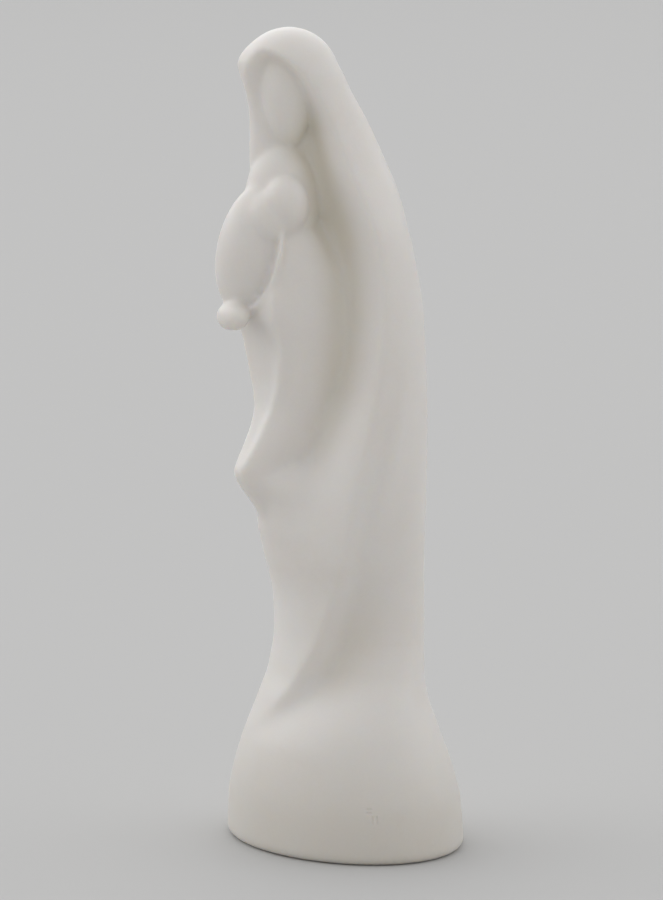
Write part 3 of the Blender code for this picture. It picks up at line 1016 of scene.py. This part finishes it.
def studio_paper():
    """Matt background paper, rolled and seamless: one soft pale tone with no edge or horizon."""
    material = bpy.data.materials.new("background_paper_matt")
    material.use_nodes = True
    tree = material.node_tree
    tree.nodes.clear()
    place = add_node(tree, "ShaderNodeTexCoord").outputs["Object"]
    fibre = add_node(
        tree,
        "ShaderNodeTexNoise",
        {"Scale": PAPER_FIBRES, "Detail": 2.0},
        {"Vector": place},
    )
    tone = add_node(
        tree,
        "ShaderNodeMapRange",
        {"To Min": PAPER_DARK, "To Max": 1.0},
        {"Value": fibre.outputs["Fac"]},
    )
    colour = add_node(
        tree,
        "ShaderNodeMix",
        {0: 1.0, 6: linear(SWEEP_COLOUR)},
        {7: tone.outputs["Result"]},
        data_type="RGBA",
        blend_type="MULTIPLY",
    )
    surface = add_node(
        tree,
        "ShaderNodeBsdfPrincipled",
        {"Roughness": PAPER_ROUGHNESS, "Specular IOR Level": PAPER_SPECULAR},
        {"Base Color": colour.outputs[2]},
    )
    add_node(tree, "ShaderNodeOutputMaterial", (), {"Surface": surface.outputs["BSDF"]})
    return material


def toward(azimuth, elevation):
    """Unit vector from the figure toward a place in the studio; azimuth 0 is in front of her."""
    azimuth, elevation = math.radians(azimuth), math.radians(elevation)
    flat = math.cos(elevation)
    return Vector((math.sin(azimuth) * flat, -math.cos(azimuth) * flat, math.sin(elevation)))


def pale_room(studio):
    """Even light of a pale room with a broad soft glow on each side, as large diffusers give."""
    world = bpy.data.worlds.new("pale_room")
    world.use_nodes = True
    tree = world.node_tree
    tree.nodes.clear()
    look = add_node(tree, "ShaderNodeTexCoord").outputs["Generated"]
    level = add_node(tree, "ShaderNodeValue").outputs[0]
    level.default_value = studio.room
    for turn, strength in (
        (-FRONT_TURN, studio.front_left),
        (FRONT_TURN, studio.front_right),
        (-BACK_TURN, studio.back_left),
        (BACK_TURN, studio.back_right),
        (180.0, studio.behind),
    ):
        way = toward(CAMERA_AZIMUTH + turn, DIFFUSER_RISE)
        facing = add_node(tree, "ShaderNodeVectorMath", {1: way}, {0: look}, operation="DOT_PRODUCT")
        glow = add_node(
            tree,
            "ShaderNodeMapRange",
            {"From Min": DIFFUSER_EDGE, "To Max": strength},
            {"Value": facing.outputs["Value"]},
            interpolation_type="SMOOTHSTEP",
        )
        total = add_node(
            tree,
            "ShaderNodeMath",
            (),
            {0: level, 1: glow.outputs["Result"]},
            operation="ADD",
        )
        level = total.outputs[0]
    light = add_node(tree, "ShaderNodeBackground", {"Color": linear(ROOM_COLOUR)}, {"Strength": level})
    add_node(tree, "ShaderNodeOutputWorld", (), {"Surface": light.outputs["Background"]})
    return world


def round_sweep():
    """Seamless floor that curves up into a wall all round, so that it closes every view."""
    shape = bmesh.new()
    profile = [Vector((0.0, 0.0, 0.0)), Vector((FLOOR_RADIUS, 0.0, 0.0))]
    for step in range(1, SWEEP_STEPS + 1):
        angle = math.pi / 2.0 * step / SWEEP_STEPS
        out = FLOOR_RADIUS + SWEEP_RADIUS * math.sin(angle)
        profile.append(Vector((out, 0.0, SWEEP_RADIUS * (1.0 - math.cos(angle)))))
    verts = [shape.verts.new(point) for point in profile]
    edges = [shape.edges.new(pair) for pair in zip(verts[:-1], verts[1:])]
    bmesh.ops.spin(
        shape,
        geom=verts + edges,
        cent=(0.0, 0.0, 0.0),
        axis=(0.0, 0.0, 1.0),
        angle=math.tau,
        steps=SWEEP_SIDES,
        use_merge=True,
    )
    bmesh.ops.remove_doubles(shape, verts=shape.verts, dist=0.0001)
    bmesh.ops.recalc_face_normals(shape, faces=shape.faces)
    item = keep(shape, "paper_sweep")
    item.data.shade_smooth()
    return item


class FigureSizes(bpy.types.PropertyGroup):
    """Sizes of the carved figure."""

    height: bpy.props.FloatProperty(
        name="Height",
        description="From the underside to the top of the hood",
        default=HEIGHT,
        unit="LENGTH",
    )
    base_width: bpy.props.FloatProperty(
        name="Foot width", description="Foot from side to side", default=BASE_WIDTH, unit="LENGTH"
    )
    base_depth: bpy.props.FloatProperty(
        name="Foot depth", description="Foot from front to back", default=BASE_DEPTH, unit="LENGTH"
    )
    foot_round: bpy.props.FloatProperty(
        name="Foot rounding", description="Radius of the lower edge", default=FOOT_ROUND, unit="LENGTH"
    )
    face_width: bpy.props.FloatProperty(
        name="Face width", description="Width of the smooth face", default=FACE_WIDTH, unit="LENGTH"
    )
    face_length: bpy.props.FloatProperty(
        name="Face length", description="Length of the smooth face", default=FACE_LENGTH, unit="LENGTH"
    )
    chest_width: bpy.props.FloatProperty(
        name="Chest width",
        description="Width of the chest under the chin",
        default=CHEST_WIDTH,
        unit="LENGTH",
    )
    chest_length: bpy.props.FloatProperty(
        name="Chest length",
        description="Height of the chest under the chin",
        default=CHEST_LENGTH,
        unit="LENGTH",
    )
    bundle_width: bpy.props.FloatProperty(
        name="Child width", description="Width of the swaddled child", default=BUNDLE_WIDTH, unit="LENGTH"
    )
    bundle_length: bpy.props.FloatProperty(
        name="Child length",
        description="Length of the swaddled child",
        default=BUNDLE_LENGTH,
        unit="LENGTH",
    )
    pocket_gap: bpy.props.FloatProperty(
        name="Pocket gap",
        description="Room between the child and the arms",
        default=POCKET_GAP,
        unit="LENGTH",
    )
    child_head_width: bpy.props.FloatProperty(
        name="Child's head width",
        description="Width of the child's head",
        default=CHILD_HEAD_WIDTH,
        unit="LENGTH",
    )
    child_head_length: bpy.props.FloatProperty(
        name="Child's head length",
        description="Length of the child's head",
        default=CHILD_HEAD_LENGTH,
        unit="LENGTH",
    )
    shoulder_width: bpy.props.FloatProperty(
        name="Child's shoulder",
        description="Width of the child's shoulder",
        default=SHOULDER_WIDTH,
        unit="LENGTH",
    )
    lip_width: bpy.props.FloatProperty(
        name="Lip width",
        description="Thickness of the sleeve's rolled lip",
        default=LIP_WIDTH,
        unit="LENGTH",
    )
    hand_width: bpy.props.FloatProperty(
        name="Hand width", description="Thickness of the mother's hand", default=HAND_WIDTH, unit="LENGTH"
    )
    hand_length: bpy.props.FloatProperty(
        name="Hand length", description="Length of the mother's hand", default=HAND_LENGTH, unit="LENGTH"
    )
    grain: bpy.props.FloatProperty(
        name="Grain", description="Finest form that the carving keeps", default=GRAIN, unit="LENGTH"
    )
    smooth_passes: bpy.props.IntProperty(
        name="Rubbing", description="How often the surface is rubbed smooth", default=SMOOTH_PASSES
    )
    rings: bpy.props.IntProperty(name="Rings", description="Rings from foot to crown", default=RINGS)
    turns: bpy.props.IntProperty(name="Turns", description="Points round each ring", default=TURNS)


class StoneSettings(bpy.types.PropertyGroup):
    """Look of the alabaster."""

    roughness: bpy.props.FloatProperty(
        name="Roughness", description="Satin of the hand polish", default=STONE_ROUGHNESS, subtype="FACTOR"
    )
    glow: bpy.props.FloatProperty(
        name="Glow",
        description="Share of light that passes through the skin",
        default=STONE_GLOW,
        subtype="FACTOR",
    )
    glow_depth: bpy.props.FloatProperty(
        name="Glow depth", description="How far light travels inside", default=GLOW_DEPTH, unit="LENGTH"
    )
    cloud_size: bpy.props.FloatProperty(
        name="Cloud size", description="Width of a cloud in the stone", default=CLOUD_SIZE, unit="LENGTH"
    )
    vein_spacing: bpy.props.FloatProperty(
        name="Vein spacing", description="Distance between hair veins", default=VEIN_SPACING, unit="LENGTH"
    )
    vein_strength: bpy.props.FloatProperty(
        name="Vein strength",
        description="How clearly the veins show",
        default=VEIN_STRENGTH,
        subtype="FACTOR",
    )
    # How far up the foot the painted shade reaches, darker towards the bottom
    foot_shade_height: bpy.props.FloatProperty(
        name="Shaded foot",
        description="How far up the foot is darkened by shading",
        default=FOOT_SHADE_HEIGHT,
        unit="LENGTH",
    )
    crystal_size: bpy.props.FloatProperty(
        name="Crystal size", description="Width of a drawn crystal", default=CRYSTAL_SIZE, unit="LENGTH"
    )
    polish_size: bpy.props.FloatProperty(
        name="Polish stroke", description="Width of a polishing stroke", default=POLISH_SIZE, unit="LENGTH"
    )
    pit_size: bpy.props.FloatProperty(
        name="Pit size", description="Width of the finest pits", default=PIT_SIZE, unit="LENGTH"
    )


class StudioSettings(bpy.types.PropertyGroup):
    """Lights round the figure."""

    room: bpy.props.FloatProperty(name="Room", description="Even light from everywhere", default=ROOM_LIGHT)
    front_left: bpy.props.FloatProperty(
        name="Front left", description="Glow in front and to the left of the photograph", default=FRONT_LEFT
    )
    front_right: bpy.props.FloatProperty(
        name="Front right",
        description="Glow in front and to the right of the photograph",
        default=FRONT_RIGHT,
    )
    back_left: bpy.props.FloatProperty(
        name="Back left", description="Glow behind and to the left of the photograph", default=BACK_LEFT
    )
    back_right: bpy.props.FloatProperty(
        name="Back right", description="Glow behind and to the right of the photograph", default=BACK_RIGHT
    )
    behind: bpy.props.FloatProperty(
        name="Behind", description="Glow from behind the figure", default=BEHIND_LIGHT
    )


class FIGURINE_OT_carve_statue(bpy.types.Operator):
    """Carve the mother and child in one block and finish the stone."""

    bl_idname = "figurine.carve_statue"
    bl_label = "Carve Virgin and Child"

    def execute(self, context):
        size = context.scene.figure_sizes
        statue = melt(size, joined(carve_forms(size), "group"), "virgin_and_child_carving")
        fit_to_frame(statue)
        cut_strokes(statue)
        # Painted shade: note how far each point lies sunk, for the darker hollows
        paint_recess_shade(statue)
        statue.data.shade_smooth()
        statue.data.materials.clear()
        statue.data.materials.append(alabaster(context.scene.stone_look))
        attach(statue, "root")
        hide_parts("virgin_and_child")
        return {"FINISHED"}


class FIGURINE_OT_set_studio(bpy.types.Operator):
    """Set the pale sweep, the soft lights and the camera."""

    bl_idname = "figurine.set_studio"
    bl_label = "Set Studio"

    def execute(self, context):
        scene = context.scene
        studio = scene.studio_light
        sweep = round_sweep()
        sweep.data.materials.append(studio_paper())
        scene.world = pale_room(studio)
        lens = bpy.data.cameras.new("photo_camera")
        lens.sensor_width = SENSOR
        lens.lens = SENSOR * CAMERA_DISTANCE / (METRES_PER_PIXEL * PHOTO_HEIGHT)
        lens.shift_x = (PHOTO_WIDTH / 2.0 - TARGET_PIXEL_X) / PHOTO_HEIGHT
        lens.shift_y = (TARGET_PIXEL_Y - PHOTO_HEIGHT / 2.0) / PHOTO_HEIGHT
        lens.dof.use_dof = False
        camera = bpy.data.objects.new("photo_camera", lens)
        scene.collection.objects.link(camera)
        way = toward(CAMERA_AZIMUTH, CAMERA_ELEVATION)
        camera.location = Vector((0.0, 0.0, CAMERA_TARGET)) + way * CAMERA_DISTANCE
        camera.rotation_euler = way.to_track_quat("Z", "Y").to_euler()
        scene.camera = camera
        scene.view_settings.view_transform = "Standard"
        return {"FINISHED"}


class FIGURINE_PT_sidebar(bpy.types.Panel):
    """Operators of the figurine in the 3D view."""

    bl_label = "Figurine"
    bl_idname = "FIGURINE_PT_sidebar"
    bl_space_type = "VIEW_3D"
    bl_region_type = "UI"
    bl_category = "Figurine"

    def draw(self, context):
        column = self.layout.column()
        for group in (context.scene.figure_sizes, context.scene.stone_look, context.scene.studio_light):
            for name in group.bl_rna.properties.keys():
                if name not in {"rna_type", "name"}:
                    column.prop(group, name)
        column.operator("figurine.carve_statue")
        column.operator("figurine.set_studio")


CLASSES = (
    FigureSizes,
    StoneSettings,
    StudioSettings,
    FIGURINE_OT_carve_statue,
    FIGURINE_OT_set_studio,
    FIGURINE_PT_sidebar,
)


def register():
    """Add the classes and the settings that the scene holds."""
    for item in CLASSES:
        bpy.utils.register_class(item)
    bpy.types.Scene.figure_sizes = bpy.props.PointerProperty(type=FigureSizes)
    bpy.types.Scene.stone_look = bpy.props.PointerProperty(type=StoneSettings)
    bpy.types.Scene.studio_light = bpy.props.PointerProperty(type=StudioSettings)


def unregister():
    """Take the classes and the settings away again."""
    del bpy.types.Scene.studio_light
    del bpy.types.Scene.stone_look
    del bpy.types.Scene.figure_sizes
    for item in reversed(CLASSES):
        bpy.utils.unregister_class(item)


def main():
    """Carve the figure and set the studio."""
    register()
    bpy.ops.figurine.carve_statue()
    bpy.ops.figurine.set_studio()


if __name__ == "__main__":
    main()
